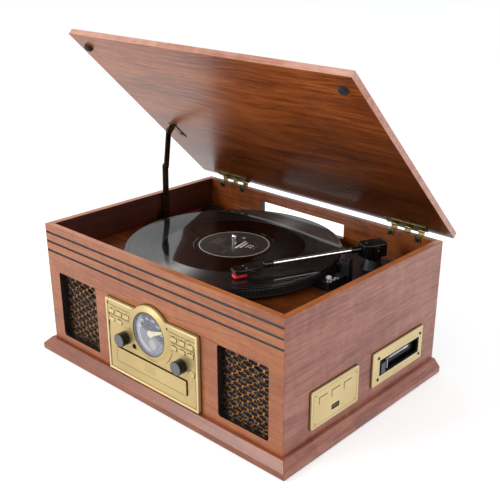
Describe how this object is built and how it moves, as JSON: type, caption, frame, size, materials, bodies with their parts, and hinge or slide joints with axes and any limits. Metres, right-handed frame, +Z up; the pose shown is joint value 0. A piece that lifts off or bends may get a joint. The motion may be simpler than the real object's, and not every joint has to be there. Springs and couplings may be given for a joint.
{
  "type": "stereo music centre",
  "caption": "Wooden table-top music centre: turntable under a hinged lid, radio dial and disc drawer in front, cassette bay and media plate at the side.",
  "frame": {"origin": "middle of the bounding box on the surface the feet stand on, with the lid open", "axes": "+Z up, front panel faces -Y, media and cassette plates face +X"},
  "size_m": [0.4746, 0.346, 0.4491],
  "materials": {
    "cabinet_wood": "satin varnish",
    "lid_wood": "gloss varnish",
    "inner_wood": "satin stain",
    "board": "raw board",
    "rubber_black": "matte",
    "aged_brass": "antique",
    "dark_screws": "dark",
    "bronze_mesh": "satin bronze",
    "black_plastic": "matte",
    "gilt_panel": "satin pale gold",
    "dial_grey": "matte",
    "dial_cream": "satin",
    "clear_lens": "clear",
    "gloss_black": "gloss",
    "smoked": "gloss smoked",
    "grey_plastic": "satin",
    "platter_black": "satin",
    "vinyl": "grooved gloss",
    "motor_steel": "plated",
    "pulley_brass": "turned",
    "arm_chrome": "polished",
    "stylus_red": "gloss",
    "board_green": "satin"
  },
  "bodies": {
    "cabinet": {"front_panel": "cabinet_wood", "left_panel": "cabinet_wood", "right_panel": "cabinet_wood", "rear_panel": "inner_wood", "deck_board": "inner_wood", "bottom_board": "board", "base_mouldings": "cabinet_wood", "feet": "rubber_black", "hinge_wall_leaves": "aged_brass", "wall_screws": "dark_screws", "stay_wall_bracket": "aged_brass", "speaker_grilles": "bronze_mesh", "speakers": "black_plastic", "faceplate": "gilt_panel", "dial_scale": "dial_grey", "dial_lens": "clear_lens", "cd_mechanism": "black_plastic", "media_plate": "gilt_panel", "cassette_plate": "gilt_panel", "cassette_deck": "black_plastic", "drive_motor": "motor_steel", "turntable_chassis": "black_plastic", "deck_fittings": "black_plastic", "main_board": "board_green", "rear_terminals": "black_plastic"},
    "lid": {"lid": "lid_wood", "lid_bumpers": "rubber_black", "lid_fittings": "aged_brass"},
    "stay_lower": {"stay_lower_arm": "aged_brass"},
    "stay_upper": {"stay_upper_arm": "aged_brass"},
    "platter": {"platter": "platter_black", "record": "vinyl"},
    "motor_pulley": {"motor_pulley": "pulley_brass"},
    "arm_swivel": {"arm_yoke": "gloss_black"},
    "arm": {"tonearm": "arm_chrome", "headshell": "gloss_black", "stylus": "stylus_red"},
    "cue_lever": {"cue_lever": "black_plastic"},
    "speed_switch": {"speed_switch": "grey_plastic"},
    "tuning_knob": {"tuning_knob": "gloss_black"},
    "dial_pointer": {"dial_pointer": "dial_cream"},
    "volume_knob": {"volume_knob": "gloss_black"},
    "disc_drawer": {"cd_tray": "gilt_panel"},
    "eject_button": {"eject_button": "gilt_panel"},
    "cassette_flap": {"cassette_flap": "smoked"},
    "cassette_key": {"cassette_key": "grey_plastic"},
    "key_left_1": {"key_left_1": "gilt_panel"},
    "key_left_2": {"key_left_2": "gilt_panel"},
    "key_left_3": {"key_left_3": "gilt_panel"},
    "key_left_4": {"key_left_4": "gilt_panel"},
    "key_left_5": {"key_left_5": "gilt_panel"},
    "key_right_1": {"key_right_1": "gilt_panel"},
    "key_right_2": {"key_right_2": "gilt_panel"},
    "key_right_3": {"key_right_3": "gilt_panel"},
    "key_right_4": {"key_right_4": "gilt_panel"},
    "key_right_5": {"key_right_5": "gilt_panel"},
    "key_right_6": {"key_right_6": "gilt_panel"},
    "media_key_1": {"media_key_1": "gilt_panel"},
    "media_key_2": {"media_key_2": "gilt_panel"},
    "media_key_3": {"media_key_3": "gilt_panel"}
  },
  "joints": [
    {"name": "lid_hinge", "type": "hinge", "parent": "cabinet", "child": "lid", "pos_m": [0, 0.1649, 0.2016], "axis": [1, 0, 0], "range_deg": [0, 44.4]},
    {"name": "stay_lower_pivot", "type": "hinge", "parent": "cabinet", "child": "stay_lower", "pos_m": [-0.2065, 0.051, 0.1585], "axis": [1, 0, 0], "range_deg": [0, 77.27]},
    {"name": "stay_upper_pivot", "type": "hinge", "parent": "lid", "child": "stay_upper", "pos_m": [-0.205, 0.06063, 0.29307], "axis": [1, 0, 0], "range_deg": [-110.35, 0]},
    {"name": "platter_spin", "type": "hinge", "parent": "cabinet", "child": "platter", "pos_m": [-0.0163, 0.0086, 0.1559], "axis": [0, 0, 1], "continuous": true},
    {"name": "pulley_spin", "type": "hinge", "parent": "cabinet", "child": "motor_pulley", "pos_m": [-0.10651, -0.02423, 0.1615], "axis": [0, 0, 1], "continuous": true},
    {"name": "arm_yaw", "type": "hinge", "parent": "cabinet", "child": "arm_swivel", "pos_m": [0.147, 0.108, 0.1837], "axis": [0, 0, 1], "range_deg": [-16, 24]},
    {"name": "arm_lift", "type": "hinge", "parent": "arm_swivel", "child": "arm", "pos_m": [0.147, 0.108, 0.1837], "axis": [-0.9114, 0.4115, 0], "range_deg": [0, 4]},
    {"name": "cue_lever_turn", "type": "hinge", "parent": "cabinet", "child": "cue_lever", "pos_m": [0.131, 0.062, 0.1605], "axis": [0, 1, 0], "range_deg": [0, 50]},
    {"name": "speed_switch_slide", "type": "slide", "parent": "cabinet", "child": "speed_switch", "axis": [0, 1, 0], "range_m": [0, 0.012]},
    {"name": "tuning_turn", "type": "hinge", "parent": "cabinet", "child": "tuning_knob", "pos_m": [0.0592, -0.1615, 0.08], "axis": [0, 1, 0], "range_deg": [-90, 450]},
    {"name": "pointer_turn", "type": "hinge", "parent": "cabinet", "child": "dial_pointer", "pos_m": [0, -0.1615, 0.1025], "axis": [0, 1, 0], "range_deg": [-30.1, 150.1]},
    {"name": "volume_turn", "type": "hinge", "parent": "cabinet", "child": "volume_knob", "pos_m": [-0.0498, -0.1615, 0.08], "axis": [0, 1, 0], "range_deg": [0, 300]},
    {"name": "drawer_slide", "type": "slide", "parent": "cabinet", "child": "disc_drawer", "axis": [0, -1, 0], "range_m": [0, 0.115]},
    {"name": "eject_press", "type": "slide", "parent": "cabinet", "child": "eject_button", "axis": [0, 1, 0], "range_m": [0, 0.0008], "stiffness_N_per_m": 300},
    {"name": "key_left_1_press", "type": "slide", "parent": "cabinet", "child": "key_left_1", "axis": [0, 1, 0], "range_m": [0, 0.0008], "stiffness_N_per_m": 300},
    {"name": "key_left_2_press", "type": "slide", "parent": "cabinet", "child": "key_left_2", "axis": [0, 1, 0], "range_m": [0, 0.0008], "stiffness_N_per_m": 300},
    {"name": "key_left_3_press", "type": "slide", "parent": "cabinet", "child": "key_left_3", "axis": [0, 1, 0], "range_m": [0, 0.0008], "stiffness_N_per_m": 300},
    {"name": "key_left_4_press", "type": "slide", "parent": "cabinet", "child": "key_left_4", "axis": [0, 1, 0], "range_m": [0, 0.0008], "stiffness_N_per_m": 300},
    {"name": "key_left_5_press", "type": "slide", "parent": "cabinet", "child": "key_left_5", "axis": [0, 1, 0], "range_m": [0, 0.0008], "stiffness_N_per_m": 300},
    {"name": "key_right_1_press", "type": "slide", "parent": "cabinet", "child": "key_right_1", "axis": [0, 1, 0], "range_m": [0, 0.0008], "stiffness_N_per_m": 300},
    {"name": "key_right_2_press", "type": "slide", "parent": "cabinet", "child": "key_right_2", "axis": [0, 1, 0], "range_m": [0, 0.0008], "stiffness_N_per_m": 300},
    {"name": "key_right_3_press", "type": "slide", "parent": "cabinet", "child": "key_right_3", "axis": [0, 1, 0], "range_m": [0, 0.0008], "stiffness_N_per_m": 300},
    {"name": "key_right_4_press", "type": "slide", "parent": "cabinet", "child": "key_right_4", "axis": [0, 1, 0], "range_m": [0, 0.0008], "stiffness_N_per_m": 300},
    {"name": "key_right_5_press", "type": "slide", "parent": "cabinet", "child": "key_right_5", "axis": [0, 1, 0], "range_m": [0, 0.0008], "stiffness_N_per_m": 300},
    {"name": "key_right_6_press", "type": "slide", "parent": "cabinet", "child": "key_right_6", "axis": [0, 1, 0], "range_m": [0, 0.0008], "stiffness_N_per_m": 300},
    {"name": "media_key_1_press", "type": "slide", "parent": "cabinet", "child": "media_key_1", "axis": [-1, 0, 0], "range_m": [0, 0.0012], "stiffness_N_per_m": 300},
    {"name": "media_key_2_press", "type": "slide", "parent": "cabinet", "child": "media_key_2", "axis": [-1, 0, 0], "range_m": [0, 0.0012], "stiffness_N_per_m": 300},
    {"name": "media_key_3_press", "type": "slide", "parent": "cabinet", "child": "media_key_3", "axis": [-1, 0, 0], "range_m": [0, 0.0012], "stiffness_N_per_m": 300},
    {"name": "flap_turn", "type": "hinge", "parent": "cabinet", "child": "cassette_flap", "pos_m": [0.2182, 0.0695, 0.0707], "axis": [0, 1, 0], "range_deg": [0, 80], "stiffness_Nm_per_rad": 0.001},
    {"name": "cassette_key_press", "type": "slide", "parent": "cabinet", "child": "cassette_key", "axis": [-1, 0, 0], "range_m": [0, 0.003], "stiffness_N_per_m": 300}
  ],
  "couplings": [
    {"joint": "stay_lower_pivot", "follows": "lid_hinge", "ratio": 1.7359},
    {"joint": "stay_upper_pivot", "follows": "lid_hinge", "ratio": -2.4809},
    {"joint": "pulley_spin", "follows": "platter_spin", "ratio": 13.2},
    {"joint": "pointer_turn", "follows": "tuning_turn", "ratio": 0.3333}
  ]
}
